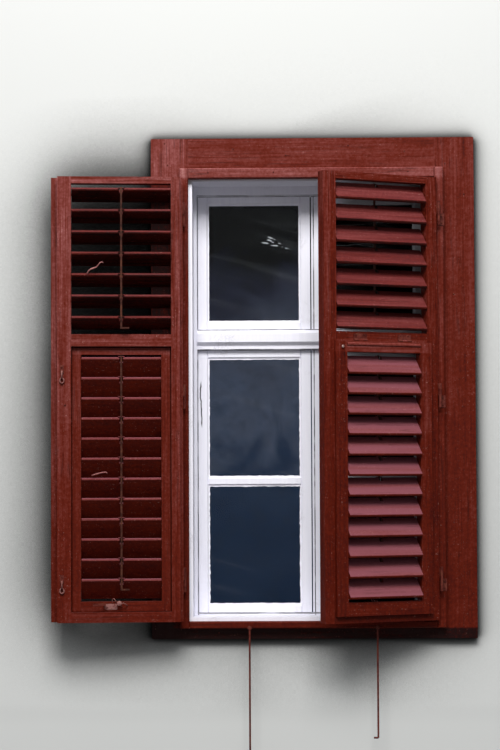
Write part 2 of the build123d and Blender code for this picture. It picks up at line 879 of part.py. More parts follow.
for side in ("left", "right"):
    save(f"{side}_stay", [stay(side)])

frame_iron = []
for side in ("left", "right"):
    frame_iron += [hang(hinge_fixed(height), side, 0) for height in hinge_heights]
    frame_iron.append(stay_screw(side))
save("frame_ironwork", frame_iron)
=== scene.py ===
from math import cos, pi, radians, sin

import bpy
from mathutils import Matrix, Vector


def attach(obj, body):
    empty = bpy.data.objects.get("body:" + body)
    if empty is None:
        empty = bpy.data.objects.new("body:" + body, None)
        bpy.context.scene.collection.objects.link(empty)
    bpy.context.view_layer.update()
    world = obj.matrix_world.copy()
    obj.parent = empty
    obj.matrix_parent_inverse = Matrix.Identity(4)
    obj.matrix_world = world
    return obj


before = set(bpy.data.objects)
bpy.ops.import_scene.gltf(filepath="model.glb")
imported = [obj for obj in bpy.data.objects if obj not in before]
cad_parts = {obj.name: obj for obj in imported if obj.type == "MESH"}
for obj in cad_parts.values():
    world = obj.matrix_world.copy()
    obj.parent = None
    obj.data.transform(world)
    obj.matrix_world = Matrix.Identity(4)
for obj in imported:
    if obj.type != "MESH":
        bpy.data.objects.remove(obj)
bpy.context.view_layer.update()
bpy.ops.object.select_all(action="DESELECT")

# Casing: softwood boards nailed flat round the opening, with a raised frame planted on
# their inner edges. Brushed with red-brown oil paint that has chalked pink at the top
# and stayed dark and damp at the foot.
SIDES = {"left": -1, "right": 1}
HALF_OPENING = 0.394
LEAF_PIN = (0.406, -0.067)
REST_ANGLE = {"left": 175, "right": 25}
RED_STEPS = (
    (0.0, (0.008, 0.0008, 0.0006, 1)),
    (0.2, (0.048, 0.0030, 0.0010, 1)),
    (0.4, (0.092, 0.0072, 0.0014, 1)),
    (0.6, (0.142, 0.0265, 0.0200, 1)),
    (0.8, (0.220, 0.0640, 0.0600, 1)),
    (1.0, (0.380, 0.1700, 0.1600, 1)),
)
CRACK_BROWN = (0.010, 0.0015, 0.001, 1)
CHIP_PINK = (0.46, 0.24, 0.21, 1)
CHIP_STRENGTH = 0.4
CHALK_AND_SKY_SHEEN = (0.185, 0.056, 0.072, 1)
RED_GLOSS = 0.08
GRAIN_ACROSS, GRAIN_ALONG = 160, 5
GRAIN_DEPTH = 0.0008
STREAKS_TO_FIBRES = 0.25
PATCH_SCALE = 7.0
MOTTLE_SCALE = 110.0
SPECK_SCALE = 230.0
FIBRE_TONE = 0.21
STREAK_TONE = 0.10
PATCH_TONE = 0.07
MOTTLE_TONE = 0.11
UPWARD_WEAR_AND_TOP_LIGHT = 0.14
WEATHER_LEVELS = (0.1, 1.5)
GRAIN_LEVELS = (0.2, 1.4)


def fed(tree, socket, value):
    """Links a socket to a texture, or sets it to a plain value."""
    if isinstance(value, bpy.types.NodeSocket):
        tree.links.new(value, socket)
    else:
        socket.default_value = value


def linked(tree, kind, **inputs):
    """Adds a node and feeds its inputs, given by name, or by number as i0, i1 and so on."""
    node = tree.nodes.new(kind)
    for label, value in inputs.items():
        numbered = label[0] == "i" and label[1:].isdigit()
        fed(tree, node.inputs[int(label[1:]) if numbered else label], value)
    return node


def worked(tree, operation, first, *others):
    """Arithmetic on textures and numbers, from the first to the last."""
    whole = first
    for other in others or (0.0,):
        node = linked(tree, "ShaderNodeMath", i0=whole, i1=other)
        node.operation = operation
        whole = node.outputs[0]
    return whole


def plus(tree, *terms):
    return worked(tree, "ADD", *terms)


def minus(tree, whole, part):
    return worked(tree, "SUBTRACT", whole, part)


def times(tree, *factors):
    return worked(tree, "MULTIPLY", *factors)


def most(tree, *layers):
    return worked(tree, "MAXIMUM", *layers)


def apart(tree, a, b):
    """How far one value is from another."""
    return worked(tree, "ABSOLUTE", minus(tree, a, b))


def spread(tree, value, low, high, to_low=0.0, to_high=1.0, kind="SMOOTHSTEP"):
    """Stretches a texture from low and high to new ends, and holds it there."""
    node = linked(tree, "ShaderNodeMapRange", i0=value, i1=low, i2=high, i3=to_low, i4=to_high)
    node.interpolation_type = kind
    return node.outputs[0]


def swayed(tree, texture, reach, low=0.3, high=0.7):
    """A texture made to sway either side of 0, no further than its reach."""
    return spread(tree, texture, low, high, -reach, reach, kind="LINEAR")


def blended(tree, amount, under, over):
    """Lays one colour over another by an amount from 0 to 1."""
    node = tree.nodes.new("ShaderNodeMix")
    node.data_type = "RGBA"
    for index, value in ((0, amount), (6, under), (7, over)):
        fed(tree, node.inputs[index], value)
    return node.outputs[2]


def noise(tree, vector, scale, detail=4.0, roughness=0.6, distortion=0.0):
    """A cloudy texture on the given coordinates."""
    node = linked(
        tree, "ShaderNodeTexNoise", Vector=vector, Scale=scale, Detail=detail,
        Roughness=roughness, Distortion=distortion,
    )
    return node.outputs[0]


def stepped(tree, value, steps):
    """A scale of colours, from the value."""
    ramp = linked(tree, "ShaderNodeValToRGB", i0=value)
    points = ramp.color_ramp.elements
    points[0].position, points[0].color = steps[0]
    points[1].position, points[1].color = steps[-1]
    for position, colour in steps[1:-1]:
        points.new(position).color = colour
    return ramp.outputs[0]


def axes(tree, output):
    """X, Y and Z of a surface's coordinates or normals."""
    place = tree.nodes.new("ShaderNodeTexCoord")
    return linked(tree, "ShaderNodeSeparateXYZ", i0=place.outputs[output]).outputs


def coordinates(tree, side=None):
    """The object's own coordinates or, for a side, those from its leaf's pin along the leaf."""
    place = tree.nodes.new("ShaderNodeTexCoord")
    turned = linked(tree, "ShaderNodeMapping", Vector=place.outputs["Object"])
    if side:
        angle = -SIDES[side] * radians(REST_ANGLE[side])
        pin = Vector((SIDES[side] * LEAF_PIN[0], LEAF_PIN[1], 0))
        turned.inputs["Rotation"].default_value = (0, 0, angle)
        turned.inputs["Location"].default_value = -(Matrix.Rotation(angle, 3, "Z") @ pin)
    return turned.outputs[0]


def grain_coordinates(tree, place, across, rails, coarser=1.0):
    """Stretched coordinates that run up the stiles and, within two bounds, along the rails."""
    wide, long = GRAIN_ACROSS * coarser, GRAIN_ALONG * coarser
    upright = linked(tree, "ShaderNodeMapping", Vector=place, Scale=(wide, wide, long))
    level = linked(tree, "ShaderNodeMapping", Vector=place, Scale=(long, wide, wide))
    inside = 1.0
    if rails != "all":
        inside = times(
            tree,
            worked(tree, "GREATER_THAN", across, rails[0]),
            worked(tree, "LESS_THAN", across, rails[1]),
        )
    grain = tree.nodes.new("ShaderNodeMix")
    grain.data_type = "VECTOR"
    for index, value in ((0, inside), (4, upright.outputs[0]), (5, level.outputs[0])):
        fed(tree, grain.inputs[index], value)
    return grain.outputs[1]


def new_finish(name):
    """A new material, its node tree and its surface shader."""
    finish = bpy.data.materials.new(name)
    finish.use_nodes = True
    return finish, finish.node_tree, finish.node_tree.nodes["Principled BSDF"]


def surfaced(tree, shader, colour, roughness, height=None, strength=0.0, depth=0.0):
    """Gives a shader its colour, roughness and relief. The depth is in metres."""
    tree.links.new(colour, shader.inputs["Base Color"])
    tree.links.new(roughness, shader.inputs["Roughness"])
    if height:
        relief = linked(tree, "ShaderNodeBump", Height=height, Strength=strength, Distance=depth)
        tree.links.new(relief.outputs[0], shader.inputs["Normal"])


def red_paint(name, side, rails, weather, lifts=(), contrast=1.0, mauve=0.0, cracks=1.0):
    """Weathered red-brown paint over planed softwood, its grain along each member.

    The weather runs from 0, dark and damp, to 1, chalked pink. It is given at the foot
    and at the head. Each lift changes it by an amount where all its ranges hold.
    """
    paint, tree, shader = new_finish(name)
    place = coordinates(tree, side)
    split = linked(tree, "ShaderNodeSeparateXYZ", Vector=place).outputs
    across, height = split[0], split[2]
    up = axes(tree, "Normal")[2]
    fine = grain_coordinates(tree, place, across, rails)
    broad = grain_coordinates(tree, place, across, rails, STREAKS_TO_FIBRES)
    fibres = noise(tree, fine, 1.0, 5, 0.72, 0.35)
    streaks = noise(tree, broad, 1.0, 3, 0.55, 0.3)
    splits = noise(tree, fine, 0.42, 2, 0.5, 0.7)
    patches = noise(tree, place, PATCH_SCALE, 5, 0.62, 0.4)
    mottle = noise(tree, place, MOTTLE_SCALE, 4, 0.7, 0.2)
    specks = noise(tree, place, SPECK_SCALE, 2, 0.5)

    grained = plus(
        tree, swayed(tree, fibres, FIBRE_TONE, 0.25, 0.75), swayed(tree, streaks, STREAK_TONE)
    )
    shown = spread(tree, height, *GRAIN_LEVELS, 0.55 * contrast, 1.35 * contrast, kind="LINEAR")
    worn = plus(
        tree,
        spread(tree, height, *WEATHER_LEVELS, *weather, kind="LINEAR"),
        times(tree, grained, shown),
        swayed(tree, patches, PATCH_TONE),
        swayed(tree, mottle, MOTTLE_TONE),
        # Upward faces are paler, partly as weathering and partly as painted top light.
        spread(tree, up, 0.4, 1.0, 0.0, UPWARD_WEAR_AND_TOP_LIGHT),
    )
    sources = {"X": split[0], "Y": split[1], "Z": split[2], "up": up}
    for amount, *ranges in lifts:
        masks = [spread(tree, sources[axis], low, high) for axis, low, high in ranges]
        worn = plus(tree, worn, times(tree, amount, *masks))

    colour = stepped(tree, worn, RED_STEPS)
    # Upward faces turn mauve, partly as chalk and partly as painted sky sheen; chalked carries
    # both.
    chalked = times(
        tree, spread(tree, up, 0.05, 0.5), spread(tree, streaks, 0.3, 0.6, 0.5, 1.0), mauve
    )
    colour = blended(tree, chalked, colour, CHALK_AND_SKY_SHEEN)
    # A crack is the thin line where the stretched texture passes one value.
    opened = minus(
        tree, spread(tree, splits, 0.44, 0.465), spread(tree, splits, 0.475, 0.50)
    )
    opened = times(tree, opened, spread(tree, patches, 0.42, 0.58, 0.0, 0.75 * cracks))
    colour = blended(tree, opened, colour, CRACK_BROWN)
    chipped = times(
        tree, spread(tree, specks, 0.66, 0.70), spread(tree, fibres, 0.45, 0.6), CHIP_STRENGTH
    )
    colour = blended(tree, chipped, colour, CHIP_PINK)
    roughness = spread(tree, fibres, 0.3, 0.7, 0.5, 0.75)
    relief = minus(tree, times(tree, fibres, 0.7), times(tree, opened, 1.2))
    surfaced(tree, shader, colour, roughness, relief, 0.5, GRAIN_DEPTH)
    shader.inputs["Specular IOR Level"].default_value = RED_GLOSS
    return paint


def coat(material, *names):
    """Gives CAD nodes their finish."""
    for name in names:
        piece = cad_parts[name]
        piece.data.materials.clear()
        piece.data.materials.append(material)


# Paler above the foot board, at the head board's left end and on the raised head, and
# darker down the left board behind the left leaf, as painted shade.
CASING_LIFTS = (
    (0.36, ("Z", 0.012, 0.020)),
    (0.20, ("X", -0.38, -0.42), ("Z", 1.44, 1.46)),
    # Painted shade on the left board, behind the left leaf.
    (-0.38, ("X", -0.41, -0.46), ("Z", 1.47, 1.40)),
    (0.20, ("Y", -0.024, -0.040), ("Z", 1.44, 1.46)),
)
CASING_WEATHER = (-0.03, 0.10)
CASING_RAILS = (-HALF_OPENING, HALF_OPENING)
coat(
    red_paint("casing_paint", None, CASING_RAILS, CASING_WEATHER, CASING_LIFTS, 0.62, cracks=0.55),
    "casing",
)

# Window: softwood sashes, transom and linings in thick white oil paint, soiled a little,
# with fine dark gaps round the sashes. The transom has a moulded nose.
WHITE_PAINT = (0.865, 0.86, 0.94, 1)
WHITE_WORN = (0.795, 0.79, 0.885, 1)
WHITE_SOILED = (0.33, 0.31, 0.33, 1)
GAP_DARK = (0.012, 0.012, 0.016, 1)
# Painted shade behind the right leaf.
LEAF_SHADE_GREY = (0.085, 0.080, 0.080, 1)
BRUSH_STROKES = (110, 110, 6)
STROKE_DEPTH = 0.0005
SASH_EDGES_X = (-0.3705, 0.0095, 0.3705)
SASH_EDGES_Z = (0.0555, 0.9125, 0.9775, 1.4165)
SASH_SIDE = (0.3715, 0.3705)
SASH_HEAD = (1.4175, 1.4165)
SASH_DEPTH = 0.09
UPRIGHT_GAP, LEVEL_GAP = 0.0022, 0.003
TRANSOM_MIDDLE = 0.945
TRANSOM_HALF = (0.031, 0.033)
CRACK_X = -0.361
CRACK_FOOT, CRACK_HEAD = (0.655, 0.675), (0.815, 0.79)
CRACK_WIDTH, CRACK_WANDER = 0.0026, 0.022


def thin_lines(tree, coordinate, places, width):
    """1 along each of the given places on an axis, and 0 elsewhere."""
    lines = [
        spread(tree, apart(tree, coordinate, place), width * 0.4, width, 1.0, 0.0)
        for place in places
    ]
    return most(tree, *lines) if len(lines) > 1 else lines[0]


def white_paint():
    """Brushed white paint, dark in the gaps round the sashes and in one crack, and with painted
    shade behind the right leaf.
    """
    paint, tree, shader = new_finish("white_paint")
    place = coordinates(tree)
    across, depth, height = linked(tree, "ShaderNodeSeparateXYZ", Vector=place).outputs
    brushed = linked(tree, "ShaderNodeMapping", Vector=place, Scale=BRUSH_STROKES)
    strokes = noise(tree, brushed.outputs[0], 1.0, 5, 0.65, 0.2)
    clouds = noise(tree, place, 9.0, 6, 0.65, 0.5)
    grit = noise(tree, place, 160.0, 3, 0.6)
    colour = blended(tree, spread(tree, strokes, 0.3, 0.72, 0.0, 0.6), WHITE_PAINT, WHITE_WORN)
    soiled = times(tree, spread(tree, clouds, 0.56, 0.72), spread(tree, grit, 0.42, 0.6), 0.35)
    colour = blended(tree, soiled, colour, WHITE_SOILED)

    beside = times(
        tree,
        spread(tree, apart(tree, height, TRANSOM_MIDDLE), *TRANSOM_HALF),
        spread(tree, height, *SASH_HEAD),
    )
    upright = times(tree, thin_lines(tree, across, SASH_EDGES_X, UPRIGHT_GAP), beside)
    between = spread(tree, worked(tree, "ABSOLUTE", across), *SASH_SIDE)
    level = times(tree, thin_lines(tree, height, SASH_EDGES_Z, LEVEL_GAP), between)
    filled = spread(tree, noise(tree, place, 14.0, 3), 0.35, 0.55, 0.5, 1.0)
    gaps = times(tree, most(tree, upright, level), filled)

    bent = times(tree, minus(tree, noise(tree, place, 11.0, 3), 0.5), CRACK_WANDER)
    crack = thin_lines(tree, plus(tree, across, bent), (CRACK_X,), CRACK_WIDTH)
    length = times(tree, spread(tree, height, *CRACK_FOOT), spread(tree, height, *CRACK_HEAD))
    gaps = most(tree, gaps, times(tree, crack, length))

    sash_front = times(
        tree,
        worked(tree, "GREATER_THAN", depth, SASH_DEPTH),
        spread(tree, axes(tree, "Normal")[1], -0.3, -0.6),
    )
    colour = blended(tree, times(tree, gaps, sash_front), colour, GAP_DARK)
    # The half behind the right leaf is painted darker, as painted shade from the leaf.
    painted_leaf_shade = plus(
        tree,
        spread(tree, across, 0.05, 0.15, 0.0, 0.75),
        spread(tree, across, 0.29, 0.35, 0.0, 0.15),
    )
    colour = blended(tree, painted_leaf_shade, colour, LEAF_SHADE_GREY)
    roughness = spread(tree, strokes, 0.3, 0.7, 0.35, 0.55)
    surfaced(tree, shader, colour, roughness, strokes, 0.35, STROKE_DEPTH)
    return paint


PAINT_WHITE = white_paint()
coat(PAINT_WHITE, "window_frame", "left_sash", "right_sash")

# Panes: old sheet glass with a slight wave, held in the sashes. Its face has dust and
# old rain marks, and the upper left pane a few short scratches.
GLASS_CLEAR = (0.84, 0.90, 0.95, 1)
GLASS_DUSTY = (0.66, 0.70, 0.74, 1)
SCRATCH_GREY = (0.55, 0.55, 0.60, 1)
GLASS_IOR, GLASS_GLOSS = 1.2, 0.1
WAVE_DEPTH = 0.001
SCRATCHES_MIDDLE = (-0.118, 1.258)
SCRATCHES_REACH = (0.060, 0.025)
SCRATCH_SLANT = radians(13)
SCRATCHES = (1.2085, 1.2170, 1.1975)
SCRATCH_WIDTH, SCRATCH_WANDER = 0.0017, 0.006
RAIN_SLANT = radians(16)
RAIN_STRETCH = (0.6, 1, 0.03)
RAIN_HAZE = 0.012


def old_glass():
    """Clear glass that lets less light through where it is scratched or hazed."""
    glass, tree, shader = new_finish("glass")
    place = coordinates(tree)
    split = linked(tree, "ShaderNodeSeparateXYZ", Vector=place).outputs
    across, height = split[0], split[2]
    wave = noise(tree, place, 7.0, 2, 0.5, 0.4)
    dust = noise(tree, place, 26.0, 6, 0.7, 0.3)

    aside = minus(tree, across, SCRATCHES_MIDDLE[0])
    above = minus(tree, height, SCRATCHES_MIDDLE[1])
    away = worked(tree, "SQRT", plus(tree, times(tree, aside, aside), times(tree, above, above)))
    slanted = plus(
        tree,
        times(tree, across, sin(SCRATCH_SLANT)),
        times(tree, height, cos(SCRATCH_SLANT)),
        swayed(tree, noise(tree, place, 22.0, 2), SCRATCH_WANDER),
    )
    scratched = times(
        tree,
        thin_lines(tree, slanted, SCRATCHES, SCRATCH_WIDTH),
        spread(tree, noise(tree, place, 40.0, 2), 0.46, 0.58, 0.0, 0.75),
        spread(tree, away, *SCRATCHES_REACH),
    )
    run = linked(
        tree, "ShaderNodeMapping", Vector=place, Rotation=(0, RAIN_SLANT, 0), Scale=RAIN_STRETCH
    )
    run.vector_type = "TEXTURE"
    rain = noise(tree, run.outputs[0], 1.0, 4, 0.6, 0.8)
    hazed = times(tree, spread(tree, rain, 0.5, 0.75), RAIN_HAZE)
    clear = minus(tree, 1.0, most(tree, scratched, hazed))

    colour = blended(tree, spread(tree, dust, 0.4, 0.75), GLASS_CLEAR, GLASS_DUSTY)
    colour = blended(tree, scratched, colour, SCRATCH_GREY)
    roughness = spread(tree, dust, 0.5, 0.8, 0.015, 0.10)
    surfaced(tree, shader, colour, roughness, wave, 0.1, WAVE_DEPTH)
    tree.links.new(clear, shader.inputs["Transmission Weight"])
    shader.inputs["IOR"].default_value = GLASS_IOR
    shader.inputs["Specular IOR Level"].default_value = GLASS_GLOSS
    return glass


coat(old_glass(), "upper_panes", "left_panes", "right_panes")

# Putty: linseed putty along each edge of a pane, smoothed off by hand and painted white.
# By now its inner edge is ragged, and most of all on the lowest panes.
PUTTY_DEEP = 0.008
PUTTY_WIDE = 0.0035
PUTTY_STEP = 0.006
GLASS_FRONT = 0.1282
PANE_SPANS = {"left": (-0.3362, -0.036), "right": (0.036, 0.3362)}
PANE_ROWS = (
    ("upper_{}_putty", "casing", (1.005, 1.389), 0.0010),
    ("{}_high_putty", "{}_sash", (0.498, 0.884), 0.0018),
    ("{}_low_putty", "{}_sash", (0.084, 0.470), 0.0026),
)
SMOOTH_ANGLE = radians(40)


def fresh(add, **settings):
    """Starts a piece from a primitive."""
    bpy.ops.object.select_all(action="DESELECT")
    add(location=(0, 0, 0), **settings)
    return bpy.context.object


def block(length, depth, height):
    """A rectangular piece, as the start of a strip or a plate."""
    thing = fresh(bpy.ops.mesh.primitive_cube_add, size=1)
    bpy.ops.transform.resize(value=(length, depth, height))
    bpy.ops.object.transform_apply(location=False, rotation=False, scale=True)
    return thing


def pick(thing, kind, test):
    """Selects, in edit mode, what passes the test.

    A face is tested by its middle, an edge by its two ends and a point by its place.
    """
    bpy.ops.object.mode_set(mode="EDIT")
    bpy.ops.mesh.select_mode(type=kind)
    bpy.ops.mesh.select_all(action="DESELECT")
    bpy.ops.object.mode_set(mode="OBJECT")
    mesh = thing.data
    if kind == "FACE":
        for face in mesh.polygons:
            face.select = test(face.center)
    elif kind == "EDGE":
        for edge in mesh.edges:
            start, end = (mesh.vertices[index].co for index in edge.vertices)
            edge.select = test(start, end)
    else:
        for point in mesh.vertices:
            point.select = test(point.co)
    bpy.ops.object.mode_set(mode="EDIT")


def settle(thing, matrix):
    """Moves a piece to its place, and leaves its origin at the frame's."""
    bpy.ops.object.mode_set(mode="OBJECT")
    thing.matrix_world = matrix
    bpy.ops.object.select_all(action="DESELECT")
    thing.select_set(True)
    bpy.context.view_layer.objects.active = thing
    bpy.ops.object.transform_apply(location=True, rotation=True, scale=True)
    return thing


def joined(name, body, material, things):
    """Makes one piece of several, on a body."""
    bpy.ops.object.select_all(action="DESELECT")
    for thing in things:
        thing.select_set(True)
    bpy.context.view_layer.objects.active = things[0]
    if len(things) > 1:
        bpy.ops.object.join()
    whole = bpy.context.view_layer.objects.active
    whole.name = whole.data.name = name
    whole.data.materials.clear()
    whole.data.materials.append(material)
    bpy.ops.object.shade_smooth_by_angle(angle=SMOOTH_ANGLE)
    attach(whole, body)


def bead(start, end, inward, ragged, seed):
    """A run of putty from start to end, sloped back and ragged along its inner edge."""
    start, end, up = Vector(start), Vector(end), Vector(inward)
    length = (end - start).length
    strip = block(length, PUTTY_DEEP, PUTTY_WIDE)
    pick(strip, "VERT", lambda p: p.y < 0 and p.z > 0)
    bpy.ops.transform.translate(value=(0, PUTTY_DEEP * 0.85, -PUTTY_WIDE * 0.2))
    pick(strip, "EDGE", lambda a, b: abs(a.x - b.x) > length / 2)
    bpy.ops.mesh.subdivide(number_cuts=int(length / PUTTY_STEP))
    pick(strip, "VERT", lambda p: p.z > 0 and abs(p.x) < length * 0.499)
    bpy.ops.transform.vertex_random(offset=ragged, seed=seed)
    along = (end - start).normalized()
    middle = (start + end) / 2 + up * PUTTY_WIDE / 2
    middle.y = GLASS_FRONT - PUTTY_DEEP / 2
    turn = Matrix((along, up.cross(along), up)).transposed().to_4x4()
    return settle(strip, Matrix.Translation(middle) @ turn)


seeds = iter(range(4 * len(PANE_SPANS) * len(PANE_ROWS)))
for name, body, (z0, z1), ragged in PANE_ROWS:
    for side, (x0, x1) in PANE_SPANS.items():
        beads = [
            bead((x1, 0, z0), (x0, 0, z0), (0, 0, 1), ragged, next(seeds)),
            bead((x0, 0, z1), (x1, 0, z1), (0, 0, -1), ragged, next(seeds)),
            bead((x0, 0, z0), (x0, 0, z1), (1, 0, 0), ragged, next(seeds)),
            bead((x1, 0, z1), (x1, 0, z0), (-1, 0, 0), ragged, next(seeds)),
        ]
        joined(name.format(side), body.format(side), PAINT_WHITE, beads)

# Leaves and flaps: stiles and rails framed together, painted like the casing. A flap
# with a drip mould hangs by its top edge in the lower light of each leaf.
LIGHT_START = 0.043
LIGHT_END = {"left": 0.358, "right": 0.363}
FLAP_STEP = 0.031
LEAF_WEATHER = {"left": (0.40, 0.66), "right": (0.30, 0.44)}
FLAP_WEATHER = {"left": (0.36, 0.56), "right": (0.31, 0.42)}
FLAP_LIFTS = ((0.12, ("Z", 0.884, 0.887)),)
FRAME_CRACKS = 0.5


def between_stiles(side, step):
    """Where the rails run, in a leaf's coordinates, from stile to stile."""
    sign = -SIDES[side]
    return sorted((sign * (LIGHT_START + step), sign * (LIGHT_END[side] - step)))


for side in SIDES:
    rails = between_stiles(side, 0.0)
    paint = red_paint(f"{side}_leaf_paint", side, rails, LEAF_WEATHER[side], cracks=FRAME_CRACKS)
    coat(paint, f"{side}_leaf_frame")
    rails = between_stiles(side, FLAP_STEP)
    paint = red_paint(
        f"{side}_flap_paint", side, rails, FLAP_WEATHER[side], FLAP_LIFTS, cracks=FRAME_CRACKS
    )
    coat(paint, f"{side}_flap_frame")

# Louvre boards: bevelled boards that tilt together on wooden pins, each with a wire
# staple to its tilt rod. Their upper faces are paler and mauve, partly chalk and partly
# painted top light and sky sheen, and below they are dark.
UPPER_FACES = ("up", -0.15, 0.35)
SLAT_WEATHER = {"upper": (0.10, 0.10), "flap": (0.27, 0.29)}
# How much paler the upper faces are made, as chalk and as painted top light.
SLAT_CHALK_AND_TOP_LIGHT = {"upper": 0.26, "flap": 0.30}
SLAT_CONTRAST = {"upper": 0.7, "flap": 0.4}
SLAT_MAUVE = {"upper": 0.25, "flap": 0.9}
SLAT_CRACKS = 0.4

for side in SIDES:
    for row in ("upper", "flap"):
        boards = [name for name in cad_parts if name.startswith(f"{side}_{row}_slat_")]
        paint = red_paint(
            f"{side}_{row}_slat_paint", side, "all", SLAT_WEATHER[row],
            ((SLAT_CHALK_AND_TOP_LIGHT[row], UPPER_FACES),), SLAT_CONTRAST[row], SLAT_MAUVE[row], SLAT_CRACKS,
        )
        coat(paint, *boards)

# Loose paint: two narrow strips of the film have come away from boards of the left leaf
# and dried in a curl, stuck at one end. The points run along, through and up the leaf.
CURLED_PAINT = (
    (0.307, 0.0610, 1.1385), (0.302, 0.0690, 1.1470), (0.295, 0.0745, 1.1520),
    (0.286, 0.0765, 1.1545), (0.278, 0.0790, 1.1575), (0.272, 0.0840, 1.1640),
    (0.267, 0.0885, 1.1705), (0.261, 0.0900, 1.1725), (0.256, 0.0880, 1.1695),
)
CURL_WIDTHS = (0.0030, 0.0030, 0.0026, 0.0022, 0.0020, 0.0019, 0.0018, 0.0016, 0.0010)
FLAKED_PAINT = (
    (0.2945, 0.0347, 0.5035), (0.2880, 0.0357, 0.5060), (0.2790, 0.0367, 0.5085),
    (0.2700, 0.0362, 0.5110), (0.2600, 0.0347, 0.5135), (0.2500, 0.0337, 0.5145),
    (0.2440, 0.0317, 0.5110),
)
FLAKE_WIDTHS = (0.0010, 0.0018, 0.0022, 0.0020, 0.0022, 0.0020, 0.0010)
INWARD, OUTWARD = 1, -1


def leaf_matrix(side, along, through, up, facing, spin=0.0):
    """A place on a leaf at rest, with Z out of its inner or its outer face."""
    sign = SIDES[side]
    turned = sign * radians(REST_ANGLE[side])
    run = Vector((cos(turned), sin(turned), 0)) * -sign
    inward = Vector((-sin(turned), cos(turned), 0))
    spot = Vector((sign * LEAF_PIN[0], LEAF_PIN[1], up)) + run * along + inward * through
    out = inward * facing
    turn = Matrix((run, out.cross(run), out)).transposed().to_4x4()
    return Matrix.Translation(spot) @ turn @ Matrix.Rotation(spin, 4, "Z")


def on_leaf(side, points, start=0.0):
    """Points given along, through and up a leaf, from a start along it."""
    return [
        leaf_matrix(side, start + along, through, up, INWARD).translation
        for along, through, up in points
    ]


def wire(points, radii):
    """A bent strand, drawn out point by point and then given its thickness."""
    thread = fresh(bpy.ops.mesh.primitive_plane_add, size=0.001)
    bpy.ops.object.mode_set(mode="EDIT")
    bpy.ops.mesh.select_mode(type="VERT")
    bpy.ops.mesh.select_all(action="SELECT")
    bpy.ops.mesh.merge(type="CENTER")
    bpy.ops.transform.translate(value=points[0])
    for before, after in zip(points, points[1:]):
        bpy.ops.mesh.extrude_vertices_move(TRANSFORM_OT_translate={"value": after - before})
    bpy.ops.object.mode_set(mode="OBJECT")
    bpy.ops.object.modifier_add(type="SKIN")
    for place, radius in zip(thread.data.skin_vertices[0].data, radii):
        place.radius = (radius, radius)
    bpy.ops.object.modifier_apply(modifier=thread.modifiers[0].name)
    bpy.ops.object.modifier_add(type="SUBSURF")
    thread.modifiers[0].levels = 2
    bpy.ops.object.modifier_apply(modifier=thread.modifiers[0].name)
    bpy.ops.object.mode_set(mode="EDIT")
    bpy.ops.mesh.select_all(action="SELECT")
    bpy.ops.mesh.normals_make_consistent(inside=False)
    bpy.ops.object.mode_set(mode="OBJECT")
    return thread


CURL_PAINT = red_paint("curl_paint", "left", "all", (0.85, 0.95), (), 0.6)
curl = wire(on_leaf("left", CURLED_PAINT), CURL_WIDTHS)
joined("paint_curl", "left_upper_slat_05", CURL_PAINT, [curl])
flake = wire(on_leaf("left", FLAKED_PAINT), FLAKE_WIDTHS)
joined("paint_flake", "left_flap_slat_07", CURL_PAINT, [flake])

# Lift-off hinges, tilt rods and stays: drawn and forged iron, painted over with the
# woodwork, with rust where the paint has worn through. Two screws hold each fixed
# half of a hinge on the raised frame.
IRON_PAINT = (0.050, 0.0055, 0.0028, 1)
IRON_CHALK = (0.120, 0.024, 0.017, 1)
ROD_PAINT = (0.020, 0.0050, 0.0026, 1)
ROD_CHALK = (0.060, 0.018, 0.011, 1)
RUST = (0.10, 0.034, 0.016, 1)
IRON_GLOSS = 0.12
IRON_DEPTH = 0.0003
FRAME_FACE = -0.048
HINGE_LEVELS = (0.173, 0.754, 1.335)
HINGE_SCREWS_X = 0.4165
HINGE_SCREW_DROPS = ((0.009, 0.4), (0.029, 1.3))
HINGE_THICKNESS = 0.002
SCREW_RADIUS = 0.0032


def iron_paint(name, under, chalk):
    """Thick paint on iron, chalked in patches and worn to rust in spots."""
    paint, tree, shader = new_finish(name)
    place = coordinates(tree)
    worn = noise(tree, place, 55.0, 5, 0.65, 0.4)
    fine = noise(tree, place, 420.0, 3, 0.6)
    colour = blended(tree, spread(tree, worn, 0.35, 0.6), under, chalk)
    rusty = times(tree, spread(tree, worn, 0.54, 0.64), spread(tree, fine, 0.42, 0.55))
    colour = blended(tree, rusty, colour, RUST)
    roughness = spread(tree, worn, 0.4, 0.65, 0.42, 0.8)
    surfaced(tree, shader, colour, roughness, fine, 0.4, IRON_DEPTH)
    shader.inputs["Specular IOR Level"].default_value = IRON_GLOSS
    return paint


PAINTED_IRON = iron_paint("iron_paint", IRON_PAINT, IRON_CHALK)
ROD_IRON = iron_paint("rod_iron", ROD_PAINT, ROD_CHALK)
coat(PAINTED_IRON, "frame_ironwork")
for side in SIDES:
    coat(PAINTED_IRON, f"{side}_leaf_ironwork", f"{side}_stay")
    coat(ROD_IRON, f"{side}_upper_tilt_rod", f"{side}_flap_tilt_rod")


def casing_matrix(x, y, z, spin=0.0):
    """A place on the casing, with Z out of its front."""
    turn = Matrix(((1, 0, 0), (0, 0, -1), (0, 1, 0))).to_4x4()
    return Matrix.Translation((x, y, z)) @ turn @ Matrix.Rotation(spin, 4, "Z")


def drawn_out(rise, widen=1.0):
    """Extrudes the picked faces upwards, and widens or narrows their end."""
    bpy.ops.mesh.extrude_region_move(TRANSFORM_OT_translate={"value": (0, 0, rise)})
    bpy.ops.transform.resize(value=(widen, widen, 1))


